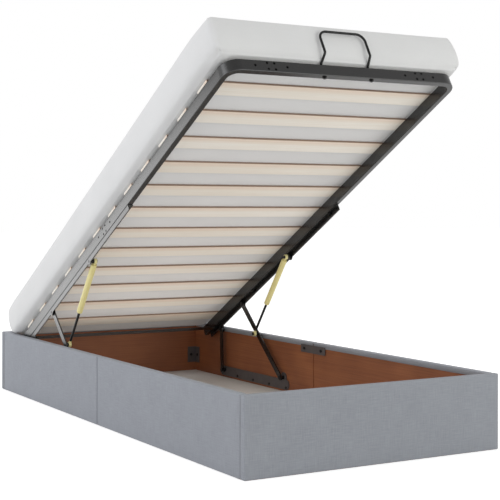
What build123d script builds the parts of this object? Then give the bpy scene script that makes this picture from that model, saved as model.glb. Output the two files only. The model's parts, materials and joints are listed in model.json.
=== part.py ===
"""Ottoman storage bed: an upholstered box base, a slatted tube frame with its mattress that lifts
at the foot on two pairs of links, and two gas struts. Millimetres; X across, Y from foot to head, Z up.
It is drawn with the storage open, as it stands on its struts."""

import os
from math import atan2, cos, degrees, hypot, radians, sin

from build123d import *

os.makedirs("parts", exist_ok=True)

# The standard mattress that the bed is built round
mattress_length = 2000
mattress_width = 900
mattress_thickness = 131

# Base box
base_extra_length = 30
base_extra_width = 30
base_height = 240
panel_depth = 25
cover_skin = 3.5
wrap_skin = 2
wrap_drop = 18
cover_edge_radius = 4
seam_edge_radius = 1.5
seam_shift = 15
overrun = 5

# Joint plates and bolts at the seams of the sides
seam_plate_length = 168
seam_plate_height = 30
seam_plate_thickness = 3
seam_plate_shift = -1
seam_plate_drop = 12
seam_plate_corner = 3
seam_bolt_spacing = 116
seam_bolt_head_radius = 5.5
seam_bolt_head_height = 3
seam_bolt_radius = 3
seam_bolt_bite = 14
fastener_clearance = 0.1

# Corner brackets
bracket_leg = 40
bracket_thickness = 3
bracket_height = 70
bracket_bottom = 60
bracket_bolt_inset = 15
bracket_bolt_radius = 3
bracket_bolt_head_radius = 6
bracket_bolt_head_height = 3
bracket_bolt_bite = 13

# Storage floor
batten_width = 20
batten_height = 20
cross_batten_width = 40
cross_batten_share = 1 / 3
floor_thickness = 4
floor_clearance = 0.5
rest_width = 22
rest_height = 24
rest_from_middle = 120
rest_from_side = 60
rest_clearance = 0.3

# Lifting platform
platform_tilt = 29.74
tube_height = 40
tube_width = 20
tube_wall = 2
tube_corner_radius = 52
tube_edge_radius = 2.5
frame_side_gap = 8
foot_gap = 5
tail_gap = 15
lift_gap = 6
slat_count = 12
slat_width = 68
slat_thickness = 8
slat_start = 124
slat_end_margin = 84
slat_edge_radius = 3
slat_screw_inset = 10
slat_screw_radius = 2.4
slat_screw_head_radius = 4.5
slat_screw_head_height = 2.4
slat_screw_length = 13

# Groups of six fixing holes in the frame tube
hole_radius = 4
hole_reach = 56
hole_pair_spacing = 25
hole_row_spacing = 22
foot_group_from_side = 155
side_group_from_tail = 950

# How the mattress lies on the slats, and its edges
mattress_foot_overhang = 8
mattress_clearance = 0.3
mattress_corner_radius = 30
mattress_lower_radius = 36
mattress_upper_radius = 14
mattress_side_belly = 7
mattress_crown = 4
crown_run_share = 0.27

# Grab handle
handle_wire_radius = 4
handle_half_width = 84.5
handle_leg_splay = 3.5
handle_seat = 10
handle_rise = 4
handle_stand_off = 14
handle_kink_height = 27
handle_top_height = 107.5
handle_foot_bend_radius = 6
handle_kink_radius = 8
handle_corner_radius = 28
handle_tail = 6
handle_nut_width = 12
handle_nut_height = 3.5

# Upper rails under the tube frame, and the strap that ties them
upper_rail_from_tail = 1165
upper_rail_end_margin = 20
upper_rail_leg = 20
upper_rail_thickness = 3
upper_rail_bend_radius = 3
upper_rail_bolt_shares = (0.05, 0.34, 0.62)
upper_rail_bolt_radius = 3
upper_rail_bolt_head_radius = 6
upper_rail_bolt_head_height = 4
tie_from_tail = 98
tie_width = 25
tie_thickness = 3
tie_clearance = 0.5

# Links and pivots of the lift
arm_lift_angle = 27.33
link_gap = 3
link_thickness = 5
link_width = 22
front_pivot_from_head = 761.6
front_pivot_height = 80
arm_top_from_tail = 348
arm_top_drop = 14.5
arm_pin_reach = 241.2
rear_pivot_height = 56
rear_top_from_tail = 130
rear_top_drop = 32
pivot_radius = 5
pivot_clearance = 0.05
collar_radius = 8
collar_clearance = 0.3
pivot_head_radius = 8.5
pivot_head_height = 2.7
lug_radius = 13

# Base rails of the lift
base_rail_bottom = 32
base_rail_height = 40
base_rail_thickness = 4
base_rail_end = 40
base_rail_lug_radius = 20
rail_screw_count = 5
rail_screw_drop = 9
rail_screw_radius = 2.5
rail_screw_head_radius = 5
rail_screw_head_height = 3
rail_screw_bite = 14

# Gas struts
strut_gap = 8
strut_top_from_tail = 774
strut_top_drop = 14
cylinder_radius = 11
cylinder_wall = 1.5
cylinder_reach = 243
cylinder_cap = 8
rod_radius = 5
rod_clearance = 0.1
piston_length = 12
piston_clearance = 0.3
eye_radius = 10
eye_width = 10
eye_neck_end = 19
eye_neck_radius = 4.7
strut_pin_radius = 4
strut_pin_head_radius = 6.5
strut_pin_head_height = 2.5
open_pivot_gap = 0.4

# Limits of the base
base_length = mattress_length + base_extra_length
base_width = mattress_width + base_extra_width
half_length = base_length / 2
half_width = base_width / 2
inner_half_length = half_length - panel_depth
inner_half_width = half_width - panel_depth
board_inner = inner_half_width + wrap_skin
board_outer = half_width - cover_skin
board_top = base_height - cover_skin
end_board_inner = inner_half_length + wrap_skin
end_board_outer = half_length - cover_skin
floor_top = batten_height + floor_thickness

# Limits of the platform, along from its foot edge and above the underside of its tube
frame_half_width = inner_half_width - frame_side_gap
frame_length = base_length - panel_depth * 2 - foot_gap - tail_gap
slat_pitch = (frame_length - slat_end_margin - slat_width - slat_start) / (slat_count - 1)
mattress_bottom = tube_height + slat_thickness + mattress_clearance
rail_inner = frame_half_width - upper_rail_thickness
link_outer = rail_inner - link_gap
link_inner = link_outer - link_thickness


def turned(point, centre, angle):
    """A (y, z) point turned about a centre; a positive angle lifts what lies towards the head."""
    across, up = point[0] - centre[0], point[1] - centre[1]
    turn = radians(angle)
    return (
        centre[0] + across * cos(turn) - up * sin(turn),
        centre[1] + across * sin(turn) + up * cos(turn),
    )


def closed_point(along, above):
    """Where a place on the platform lies, as (y, z), when the bed is shut."""
    foot_edge = -inner_half_length + foot_gap
    underside = base_height + lift_gap - tube_height - slat_thickness
    return (foot_edge + along, underside + above)


# The open pose follows from the shut one: the arms swing up and the platform tilts on their tops
front_pivot = (inner_half_length - front_pivot_from_head, front_pivot_height)
arm_top_place = (frame_length - arm_top_from_tail, -arm_top_drop)
arm_top = turned(closed_point(*arm_top_place), front_pivot, arm_lift_angle)
arm_angle = degrees(atan2(arm_top[1] - front_pivot[1], arm_top[0] - front_pivot[0]))


def open_point(along, above):
    """Where a place on the platform lies, as (y, z), when the bed is open."""
    shut, shut_top = closed_point(along, above), closed_point(*arm_top_place)
    lifted = (arm_top[0] + shut[0] - shut_top[0], arm_top[1] + shut[1] - shut_top[1])
    return turned(lifted, arm_top, -platform_tilt)


rear_top_place = (frame_length - rear_top_from_tail, -rear_top_drop)
rear_top = open_point(*rear_top_place)
rear_top_shut = closed_point(*rear_top_place)
rear_squares = (hypot(*rear_top_shut) ** 2 - hypot(*rear_top) ** 2) / 2
rear_rise = rear_top_shut[1] - rear_top[1]
rear_pivot = (
    (rear_squares - rear_rise * rear_pivot_height) / (rear_top_shut[0] - rear_top[0]),
    rear_pivot_height,
)

strut_top_place = (frame_length - strut_top_from_tail, -strut_top_drop)
strut_top = open_point(*strut_top_place)
arm_pin = (
    front_pivot[0] + arm_pin_reach * cos(radians(arm_angle)),
    front_pivot[1] + arm_pin_reach * sin(radians(arm_angle)),
)
strut_length = hypot(strut_top[0] - arm_pin[0], strut_top[1] - arm_pin[1])
strut_direction = (0, strut_top[0] - arm_pin[0], strut_top[1] - arm_pin[1])

# Drawing planes of the open platform: from above, and from the right side
tilt = radians(platform_tilt)
platform_origin = (0, *open_point(0, 0))
platform = Plane(origin=platform_origin, x_dir=(1, 0, 0), z_dir=(0, sin(tilt), cos(tilt)))
platform_side = Plane(
    origin=platform_origin, x_dir=(0, cos(tilt), -sin(tilt)), z_dir=(1, 0, 0)
)
sides = (("left", -1), ("right", 1))


def span(side, low, high):
    """Limits along X of what lies from low to high off the centre plane, on one side."""
    return (side * low, side * high)


def box(x_span, y_span, z_span, mode=Mode.ADD):
    """A box between three pairs of limits, added to or cut from the part being built."""
    spans = (x_span, y_span, z_span)
    with Locations(tuple((low + high) / 2 for low, high in spans)):
        Box(*(abs(high - low) for low, high in spans), mode=mode)


def bar_along_x(point, radius, x_span, mode=Mode.ADD):
    """A round bar along X, centred on a (y, z) point."""
    middle = ((x_span[0] + x_span[1]) / 2, *point)
    with Locations(Location(middle, (0, 90, 0))):
        Cylinder(radius, abs(x_span[1] - x_span[0]), mode=mode)


def bar_along_y(point, radius, y_span, mode=Mode.ADD):
    """A round bar along Y, centred on an (x, z) point."""
    middle = (point[0], (y_span[0] + y_span[1]) / 2, point[1])
    with Locations(Location(middle, (90, 0, 0))):
        Cylinder(radius, abs(y_span[1] - y_span[0]), mode=mode)


def bar_along_z(point, radius, z_span, mode=Mode.ADD):
    """A round bar along Z, centred on an (x, y) point."""
    with Locations((*point, (z_span[0] + z_span[1]) / 2)):
        Cylinder(radius, abs(z_span[1] - z_span[0]), mode=mode)


def save(part, name):
    """Label a finished piece and write it to its own file."""
    part.label = name
    export_step(part, f"parts/{name}.step")


# Places of the fasteners that hold the base together
seam_plate_middle = seam_shift + seam_plate_shift
seam_bolt_z = base_height - seam_plate_drop - seam_plate_height / 2
seam_bolt_places = (
    seam_plate_middle - seam_bolt_spacing / 2,
    seam_plate_middle + seam_bolt_spacing / 2,
)
bracket_bolt_z = bracket_bottom + bracket_height / 2
side_bracket_bolt_y = end_board_inner - bracket_leg + bracket_bolt_inset
end_bracket_bolt_x = board_inner - bracket_leg + bracket_bolt_inset
rail_start = front_pivot[0] - base_rail_end
rail_stop = rear_pivot[0] + base_rail_end
rail_screw_z = base_rail_bottom + rail_screw_drop
rail_screw_step = (rail_stop - rail_start - base_rail_end) / (rail_screw_count - 1)
rail_screw_places = [
    rail_start + base_rail_end / 2 + rail_screw_step * number
    for number in range(rail_screw_count)
]

# Side panels: two lengths on each side, each a board under its own cover
side_lengths = (
    ("foot", -end_board_inner, seam_shift, -1),
    ("head", seam_shift, end_board_inner, 1),
)
for side_name, side in sides:
    for end_name, start, stop, end in side_lengths:
        seam_end = seam_shift + end * wrap_skin
        board_span = (start, seam_end) if end < 0 else (seam_end, stop)
        with BuildPart() as board:
            box(span(side, board_inner, board_outer), board_span, (0, board_top))
            for place in seam_bolt_places:
                if (place - seam_shift) * end > 0:
                    depth = span(side, board_inner, inner_half_width + seam_bolt_bite)
                    hole = seam_bolt_radius + fastener_clearance
                    bar_along_x((place, seam_bolt_z), hole, depth, Mode.SUBTRACT)
            hole = bracket_bolt_radius + fastener_clearance
            depth = span(side, board_inner, board_inner + bracket_bolt_bite)
            place = (end * side_bracket_bolt_y, bracket_bolt_z)
            bar_along_x(place, hole, depth, Mode.SUBTRACT)
            for place in rail_screw_places:
                if end > 0:
                    hole = rail_screw_radius + fastener_clearance
                    depth = span(side, board_inner, board_inner + rail_screw_bite)
                    bar_along_x((place, rail_screw_z), hole, depth, Mode.SUBTRACT)
        save(board.part, f"{side_name}_{end_name}_board")

        with BuildPart() as cover:
            box(span(side, inner_half_width, half_width), (start, stop), (0, base_height))
            top_edges = cover.edges().filter_by(Axis.Y).group_by(Axis.Z)[-1]
            outer_top = top_edges.sort_by(Axis.X)[-1 if side > 0 else 0]
            inner_top = top_edges.sort_by(Axis.X)[0 if side > 0 else -1]
            fillet(outer_top, cover_edge_radius)
            fillet(inner_top, wrap_skin)
            upright = cover.edges().filter_by(Axis.Z).group_by(Axis.Y)[-1 if end < 0 else 0]
            fillet(upright.sort_by(Axis.X)[-1 if side > 0 else 0], seam_edge_radius)
            box(span(side, board_inner, board_outer), board_span, (0, board_top), Mode.SUBTRACT)
            below_wrap = (0, base_height - wrap_drop)
            inner_skin = span(side, inner_half_width, board_inner)
            box(inner_skin, (start, stop), below_wrap, Mode.SUBTRACT)
            for place in seam_bolt_places:
                if (place - seam_shift) * end > 0:
                    hole = seam_bolt_radius + fastener_clearance
                    bar_along_x((place, seam_bolt_z), hole, inner_skin, Mode.SUBTRACT)
        save(cover.part, f"{side_name}_{end_name}_cover")

# End panels: full width, with the side panels butted on their boards
for end_name, end in (("foot", -1), ("head", 1)):
    board_span = (end * end_board_inner, end * end_board_outer)
    with BuildPart() as board:
        box((-board_outer, board_outer), board_span, (0, board_top))
        for side_name, side in sides:
            hole = bracket_bolt_radius + fastener_clearance
            depth = (end * end_board_inner, end * (end_board_inner + bracket_bolt_bite))
            place = (side * end_bracket_bolt_x, bracket_bolt_z)
            bar_along_y(place, hole, depth, Mode.SUBTRACT)
    save(board.part, f"{end_name}_board")

    with BuildPart() as cover:
        box((-half_width, half_width), (end * inner_half_length, end * half_length), (0, base_height))
        top_edges = cover.edges().filter_by(Axis.X).group_by(Axis.Z)[-1]
        fillet(top_edges.sort_by(Axis.Y)[0 if end < 0 else -1], cover_edge_radius)
        fillet(top_edges.sort_by(Axis.Y)[-1 if end < 0 else 0], wrap_skin)
        fillet(
            cover.edges().filter_by(Axis.Z).group_by(Axis.Y)[0 if end < 0 else -1],
            cover_edge_radius,
        )
        box((-board_outer, board_outer), board_span, (0, board_top), Mode.SUBTRACT)
        inner_skin = (end * inner_half_length, end * end_board_inner)
        below_wrap = (0, base_height - wrap_drop)
        box((-inner_half_width, inner_half_width), inner_skin, below_wrap, Mode.SUBTRACT)
        for side_name, side in sides:
            behind_side = span(side, inner_half_width, half_width)
            box(behind_side, inner_skin, (0, base_height), Mode.SUBTRACT)
    save(cover.part, f"{end_name}_cover")

# Joint plates across the seams, with their bolts
with BuildPart() as seam_plates:
    for side_name, side in sides:
        face = side * inner_half_width if side < 0 else inner_half_width - seam_plate_thickness
        with BuildSketch(Plane.YZ.offset(face)) as outline:
            with Locations((seam_plate_middle, seam_bolt_z)):
                RectangleRounded(seam_plate_length, seam_plate_height, seam_plate_corner)
            for place in seam_bolt_places:
                with Locations((place, seam_bolt_z)):
                    Circle(seam_bolt_radius + fastener_clearance, mode=Mode.SUBTRACT)
        extrude(amount=seam_plate_thickness)
save(seam_plates.part, "seam_plates")

with BuildPart() as seam_bolts:
    plate_face = inner_half_width - seam_plate_thickness
    for side_name, side in sides:
        for place in seam_bolt_places:
            centre = (place, seam_bolt_z)
            head = span(side, plate_face - seam_bolt_head_height, plate_face)
            shank = span(side, plate_face - fastener_clearance, inner_half_width + seam_bolt_bite)
            bar_along_x(centre, seam_bolt_head_radius, head)
            bar_along_x(centre, seam_bolt_radius, shank)
save(seam_bolts.part, "seam_bolts")

# Corner brackets and their bolts
with BuildPart() as corner_brackets:
    bracket_z = (bracket_bottom, bracket_bottom + bracket_height)
    for side_name, side in sides:
        for end in (-1, 1):
            leg = (end * (end_board_inner - bracket_leg), end * end_board_inner)
            corner = (end * (end_board_inner - bracket_thickness), end * end_board_inner)
            box(span(side, board_inner - bracket_thickness, board_inner), leg, bracket_z)
            box(span(side, board_inner - bracket_leg, board_inner), corner, bracket_z)
            hole = bracket_bolt_radius + fastener_clearance
            through = span(side, board_inner - bracket_thickness, board_inner)
            place = (end * side_bracket_bolt_y, bracket_bolt_z)
            bar_along_x(place, hole, through, Mode.SUBTRACT)
            place = (side * end_bracket_bolt_x, bracket_bolt_z)
            bar_along_y(place, hole, corner, Mode.SUBTRACT)
save(corner_brackets.part, "corner_brackets")

with BuildPart() as corner_bolts:
    for side_name, side in sides:
        for end in (-1, 1):
            face = board_inner - bracket_thickness
            head = span(side, face - bracket_bolt_head_height, face)
            shank = span(side, face - fastener_clearance, board_inner + bracket_bolt_bite)
            place = (end * side_bracket_bolt_y, bracket_bolt_z)
            bar_along_x(place, bracket_bolt_head_radius, head)
            bar_along_x(place, bracket_bolt_radius, shank)
            face = end_board_inner - bracket_thickness
            head = (end * (face - bracket_bolt_head_height), end * face)
            shank = (
                end * (face - fastener_clearance),
                end * (end_board_inner + bracket_bolt_bite),
            )
            place = (side * end_bracket_bolt_x, bracket_bolt_z)
            bar_along_y(place, bracket_bolt_head_radius, head)
            bar_along_y(place, bracket_bolt_radius, shank)
save(corner_bolts.part, "corner_bolts")

# Storage floor on its battens
batten_inner = board_inner - batten_width
with BuildPart() as side_battens:
    for side_name, side in sides:
        box(
            span(side, batten_inner, board_inner),
            (-inner_half_length, inner_half_length),
            (0, batten_height),
        )
save(side_battens.part, "side_battens")

with BuildPart() as cross_battens:
    for end in (-1, 0, 1):
        middle = end * inner_half_length * cross_batten_share
        box(
            (-batten_inner, batten_inner),
            (middle - cross_batten_width / 2, middle + cross_batten_width / 2),
            (0, batten_height),
        )
save(cross_battens.part, "cross_battens")

floor_half_width = board_inner - floor_clearance
floor_ends = (("foot", -inner_half_length, 0), ("head", 0, inner_half_length))
for end_name, start, stop in floor_ends:
    with BuildPart() as floor_panel:
        box(
            (-floor_half_width, floor_half_width),
            (start + floor_clearance, stop - floor_clearance),
            (batten_height, floor_top),
        )
    save(floor_panel.part, f"{end_name}_floor_panel")

# Blocks inside the foot panel that carry the shut platform
with BuildPart() as foot_rests:
    rest_top = closed_point(0, 0)[1] - rest_clearance
    for side_name, side in sides:
        box(
            span(side, rest_from_middle, inner_half_width - rest_from_side),
            (-end_board_inner, -end_board_inner + rest_width),
            (rest_top - rest_height, rest_top),
        )
save(foot_rests.part, "foot_rests")

# Base rails of the lift, screwed to the side boards
for side_name, side in sides:
    face = board_inner - base_rail_thickness if side > 0 else -board_inner
    with BuildPart() as base_rail:
        with BuildSketch(Plane.YZ.offset(face)) as outline:
            middle = ((rail_start + rail_stop) / 2, base_rail_bottom + base_rail_height / 2)
            with Locations(middle):
                SlotOverall(rail_stop - rail_start, base_rail_height)
            with Locations(front_pivot):
                Circle(base_rail_lug_radius)
            with Locations(
                (front_pivot[0], (front_pivot[1] + base_rail_bottom + base_rail_height / 2) / 2)
            ):
                Rectangle(base_rail_lug_radius * 2, front_pivot[1] - middle[1])
            with Locations(front_pivot, rear_pivot):
                Circle(pivot_radius, mode=Mode.SUBTRACT)
            for place in rail_screw_places:
                with Locations((place, rail_screw_z)):
                    Circle(rail_screw_radius + fastener_clearance, mode=Mode.SUBTRACT)
        extrude(amount=base_rail_thickness)
    save(base_rail.part, f"{side_name}_base_rail")

with BuildPart() as rail_screws:
    face = board_inner - base_rail_thickness
    for side_name, side in sides:
        for place in rail_screw_places:
            centre = (place, rail_screw_z)
            head = span(side, face - rail_screw_head_height, face)
            shank = span(side, face - fastener_clearance, board_inner + rail_screw_bite)
            bar_along_x(centre, rail_screw_head_radius, head)
            bar_along_x(centre, rail_screw_radius, shank)
save(rail_screws.part, "rail_screws")


def pivot_stud(side, point, seat, plate):
    """A shouldered stud riveted in a plate, which carries a link on its journal."""
    collar_end = link_outer + collar_clearance
    head_start = link_inner - collar_clearance
    bar_along_x(point, pivot_radius, span(side, seat, seat + plate))
    bar_along_x(point, collar_radius, span(side, collar_end, seat))
    bar_along_x(point, pivot_radius - pivot_clearance, span(side, head_start, collar_end))
    head = span(side, head_start - pivot_head_height, head_start)
    bar_along_x(point, pivot_head_radius, head)


with BuildPart() as base_pivots:
    seat = board_inner - base_rail_thickness
    for side_name, side in sides:
        for point in (front_pivot, rear_pivot):
            pivot_stud(side, point, seat, base_rail_thickness)
save(base_pivots.part, "base_pivots")


def link_plate(side, start, stop, extra_hole=None):
    """A flat link with round ends between two pivots, and a hole for a pin on its way."""
    length = hypot(stop[0] - start[0], stop[1] - start[1])
    slope = degrees(atan2(stop[1] - start[1], stop[0] - start[0]))
    middle = ((start[0] + stop[0]) / 2, (start[1] + stop[1]) / 2)
    face = link_inner if side > 0 else -link_outer
    with BuildSketch(Plane.YZ.offset(face)) as outline:
        with Locations(Location((*middle, 0), slope)):
            SlotCenterToCenter(length, link_width)
        with Locations(start, stop):
            Circle(pivot_radius, mode=Mode.SUBTRACT)
        if extra_hole:
            with Locations(extra_hole):
                Circle(strut_pin_radius, mode=Mode.SUBTRACT)
    extrude(outline.sketch, amount=link_thickness)


# Lift arms, with the pins that carry the lower eyes of the struts
for side_name, side in sides:
    with BuildPart() as lift_arm:
        link_plate(side, front_pivot, arm_top, arm_pin)
    save(lift_arm.part, f"{side_name}_lift_arm")

eye_outer = link_inner - strut_gap
eye_inner = eye_outer - eye_width
strut_plane = (eye_inner + eye_outer) / 2
with BuildPart() as arm_pins:
    for side_name, side in sides:
        collar_end = eye_outer + collar_clearance
        head_start = eye_inner - collar_clearance
        bar_along_x(arm_pin, strut_pin_radius, span(side, link_inner, link_outer))
        bar_along_x(arm_pin, strut_pin_head_radius, span(side, collar_end, link_inner))
        bar_along_x(arm_pin, strut_pin_radius - pivot_clearance, span(side, head_start, collar_end))
        head = span(side, head_start - strut_pin_head_height, head_start)
        bar_along_x(arm_pin, strut_pin_head_radius, head)
save(arm_pins.part, "arm_pins")

# Rear links; the pin in the upper end of each stops just short of the platform's boss
for side_name, side in sides:
    with BuildPart() as rear_link:
        link_plate(side, rear_pivot, rear_top)
    save(rear_link.part, f"{side_name}_rear_link")

with BuildPart() as rear_link_pins:
    for side_name, side in sides:
        head = span(side, link_inner - pivot_head_height, link_inner)
        bar_along_x(rear_top, pivot_radius, span(side, link_inner, link_outer))
        bar_along_x(rear_top, pivot_head_radius, head)
save(rear_link_pins.part, "rear_link_pins")


def frame_plan(plane, wall):
    """The U of the tube frame seen from above, drawn in by wall on every side."""
    with BuildSketch(plane) as plan:
        with Locations((0, frame_length / 2)):
            Rectangle((frame_half_width - wall) * 2, frame_length - wall * 2)
        fillet(plan.vertices().group_by(Axis.Y)[0], tube_corner_radius - wall)
        with BuildSketch(mode=Mode.PRIVATE) as opening:
            inner_start = tube_width - wall
            inner_stop = frame_length + overrun
            inner_half = frame_half_width - tube_width + wall
            with Locations((0, (inner_start + inner_stop) / 2)):
                Rectangle(inner_half * 2, inner_stop - inner_start)
            corners = opening.vertices().group_by(Axis.Y)[0]
            fillet(corners, tube_corner_radius - tube_width + wall)
        add(opening.sketch, mode=Mode.SUBTRACT)
    return plan.sketch


# Six fixing holes: a single one, two pairs side by side, a single one
hole_group = (
    (-hole_reach, 0),
    (hole_reach, 0),
    (-hole_pair_spacing / 2, -hole_row_spacing / 2),
    (-hole_pair_spacing / 2, hole_row_spacing / 2),
    (hole_pair_spacing / 2, -hole_row_spacing / 2),
    (hole_pair_spacing / 2, hole_row_spacing / 2),
)
slat_starts = [slat_start + slat_pitch * number for number in range(slat_count)]
slat_screw_x = frame_half_width - slat_screw_inset
rail_foot = frame_length - upper_rail_from_tail
rail_tail = frame_length - upper_rail_end_margin
rail_bolt_x = frame_half_width - tube_width / 2
tie_start = frame_length - tie_from_tail
tie_bolt_place = tie_start + tie_width / 2
rail_bolt_places = [rail_foot + (rail_tail - rail_foot) * share for share in upper_rail_bolt_shares]
rail_bolt_places.append(tie_bolt_place)
foot_group_x = frame_half_width - foot_group_from_side
handle_leg_x = handle_half_width + handle_leg_splay

# The bent tube frame
with BuildPart(platform) as tube_frame:
    extrude(frame_plan(platform, 0), amount=tube_height)
    rims = tube_frame.faces().filter_by(platform).edges()
    tail_ends = rims.sort_by(Axis(platform_origin, platform.y_dir))[-4:]
    fillet(rims - tail_ends, tube_edge_radius)
    hollow = frame_plan(platform.offset(tube_wall), tube_wall)
    extrude(hollow, amount=tube_height - tube_wall * 2, mode=Mode.SUBTRACT)
    for side_name, side in sides:
        for along, above in hole_group:
            centre = (side * foot_group_x + along, tube_height / 2 + above)
            bar_along_y(centre, hole_radius, (-overrun, tube_wall), Mode.SUBTRACT)
            centre = (frame_length - side_group_from_tail + along, tube_height / 2 + above)
            wall_span = span(side, frame_half_width - tube_wall, frame_half_width + overrun)
            bar_along_x(centre, hole_radius, wall_span, Mode.SUBTRACT)
        for start in slat_starts:
            centre = (side * slat_screw_x, start + slat_width / 2)
            hole = slat_screw_radius + fastener_clearance
            bar_along_z(centre, hole, (tube_height - tube_wall, tube_height), Mode.SUBTRACT)
        for place in rail_bolt_places:
            centre = (side * rail_bolt_x, place)
            hole = upper_rail_bolt_radius + fastener_clearance
            bar_along_z(centre, hole, (0, tube_wall), Mode.SUBTRACT)
        centre = (side * handle_leg_x, handle_seat)
        hole = handle_wire_radius + fastener_clearance
        bar_along_z(centre, hole, (-overrun, tube_height + overrun), Mode.SUBTRACT)
save(tube_frame.part, "tube_frame")


# Upper rails: an angle under each side tube, with a lug round each pivot
def upper_rail_leg_outline(plane):
    """The upright leg of an upper rail, with its pivot lugs and holes."""
    places = (arm_top_place, rear_top_place, strut_top_place)
    with BuildSketch(plane) as outline:
        with Locations(((rail_foot + rail_tail) / 2, -upper_rail_leg / 2)):
            Rectangle(rail_tail - rail_foot, upper_rail_leg)
        for along, above in places:
            with Locations((along, above)):
                Circle(lug_radius)
            if above < -lug_radius:
                with Locations((along, above / 2)):
                    Rectangle(lug_radius * 2, -above)
        with Locations(((rail_foot + rail_tail) / 2, lug_radius / 2)):
            Rectangle(rail_tail - rail_foot, lug_radius, mode=Mode.SUBTRACT)
        for place in places:
            with Locations(place):
                Circle(pivot_radius, mode=Mode.SUBTRACT)
    return outline.sketch


for side_name, side in sides:
    face = rail_inner if side > 0 else -frame_half_width
    with BuildPart(platform) as upper_rail:
        extrude(upper_rail_leg_outline(platform_side.offset(face)), amount=upper_rail_thickness)
        box(
            span(side, frame_half_width - tube_width, frame_half_width),
            (rail_foot, rail_tail),
            (-upper_rail_thickness, 0),
        )
        along = upper_rail.edges().filter_by(Axis(platform_origin, platform.y_dir))
        tops = along.group_by(Axis(platform_origin, platform.z_dir))[-1]
        fillet(tops.sort_by(Axis.X)[-1 if side > 0 else 0], upper_rail_bend_radius)
        for place in rail_bolt_places:
            centre = (side * rail_bolt_x, place)
            hole = upper_rail_bolt_radius + fastener_clearance
            bar_along_z(centre, hole, (-upper_rail_thickness, 0), Mode.SUBTRACT)
    save(upper_rail.part, f"{side_name}_upper_rail")

# Flat strap that ties the tails of the upper rails
tie_half_width = rail_inner - tie_clearance
tie_span = (-upper_rail_thickness - tie_thickness, -upper_rail_thickness)
with BuildPart(platform) as tie_strap:
    box((-tie_half_width, tie_half_width), (tie_start, tie_start + tie_width), tie_span)
    for side_name, side in sides:
        hole = upper_rail_bolt_radius + fastener_clearance
        bar_along_z((side * rail_bolt_x, tie_bolt_place), hole, tie_span, Mode.SUBTRACT)
save(tie_strap.part, "tie_strap")

with BuildPart(platform) as upper_rail_bolts:
    for side_name, side in sides:
        for place in rail_bolt_places:
            centre = (side * rail_bolt_x, place)
            seat = tie_span[0] if place == tie_bolt_place else -upper_rail_thickness
            bar_along_z(centre, upper_rail_bolt_head_radius, (seat - upper_rail_bolt_head_height, seat))
            bar_along_z(centre, upper_rail_bolt_radius, (seat - fastener_clearance, tube_wall))
save(upper_rail_bolts.part, "upper_rail_bolts")

# Studs on the upper rails: the arms' journals, the struts' posts and the rear links' bosses
with BuildPart() as platform_pivots:
    for side_name, side in sides:
        pivot_stud(side, arm_top, rail_inner, upper_rail_thickness)
        post = span(side, eye_outer + collar_clearance + open_pivot_gap, rail_inner)
        bar_along_x(strut_top, pivot_radius, span(side, rail_inner, frame_half_width))
        bar_along_x(strut_top, strut_pin_head_radius, post)
        boss = span(side, link_outer + open_pivot_gap, rail_inner)
        bar_along_x(rear_top, pivot_radius, span(side, rail_inner, frame_half_width))
        bar_along_x(rear_top, collar_radius, boss)
save(platform_pivots.part, "platform_pivots")

# Slats across the tube frame, each screwed down at both ends
slat_top = tube_height + slat_thickness
for number, start in enumerate(slat_starts, 1):
    with BuildPart(platform) as slat:
        box(
            (-frame_half_width, frame_half_width),
            (start, start + slat_width),
            (tube_height, slat_top),
        )
        fillet(slat.edges().filter_by(Axis.X), slat_edge_radius)
        for side_name, side in sides:
            centre = (side * slat_screw_x, start + slat_width / 2)
            recess = (slat_top - slat_screw_head_height, slat_top)
            hole = slat_screw_radius + fastener_clearance
            bar_along_z(centre, hole, (tube_height, slat_top), Mode.SUBTRACT)
            head_hole = slat_screw_head_radius + fastener_clearance
            bar_along_z(centre, head_hole, recess, Mode.SUBTRACT)
    save(slat.part, f"slat_{number:02d}")

with BuildPart(platform) as slat_screws:
    for side_name, side in sides:
        for start in slat_starts:
            centre = (side * slat_screw_x, start + slat_width / 2)
            head = (slat_top - slat_screw_head_height, slat_top)
            bar_along_z(centre, slat_screw_head_radius, head)
            bar_along_z(centre, slat_screw_radius, (slat_top - slat_screw_length, slat_top))
save(slat_screws.part, "slat_screws")


# Mattress: rounded lower edges, tighter upper ones, sides with a slight belly and a crowned top
def mattress_section(height, inset):
    """One level of the mattress, as its height above the underside and how far it is drawn in."""
    corner = max(mattress_corner_radius - inset, mattress_upper_radius)
    middle = mattress_length / 2 - mattress_foot_overhang
    with BuildSketch(platform.offset(mattress_bottom + height)) as section:
        with Locations((0, middle)):
            RectangleRounded(mattress_width - inset * 2, mattress_length - inset * 2, corner)
    return section.sketch


edge_steps = 4
mattress_levels = []
for step in range(edge_steps + 1):
    turn = radians(90 * step / edge_steps)
    height = mattress_lower_radius * (1 - cos(turn))
    mattress_levels.append((height, mattress_lower_radius * (1 - sin(turn))))
mattress_levels.append((mattress_thickness / 2, -mattress_side_belly))
shoulder = mattress_thickness - mattress_crown
for step in range(edge_steps + 1):
    turn = radians(90 * step / edge_steps)
    height = shoulder - mattress_upper_radius * (1 - sin(turn))
    mattress_levels.append((height, mattress_upper_radius * (1 - cos(turn))))
crown_steps = 3
for step in range(1, crown_steps + 1):
    share = step / crown_steps
    inset = mattress_upper_radius + mattress_width * crown_run_share * share
    mattress_levels.append((shoulder + mattress_crown * share * (2 - share), inset))
with BuildPart() as mattress:
    loft([mattress_section(*level) for level in mattress_levels], ruled=True)
save(mattress.part, "mattress")

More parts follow.
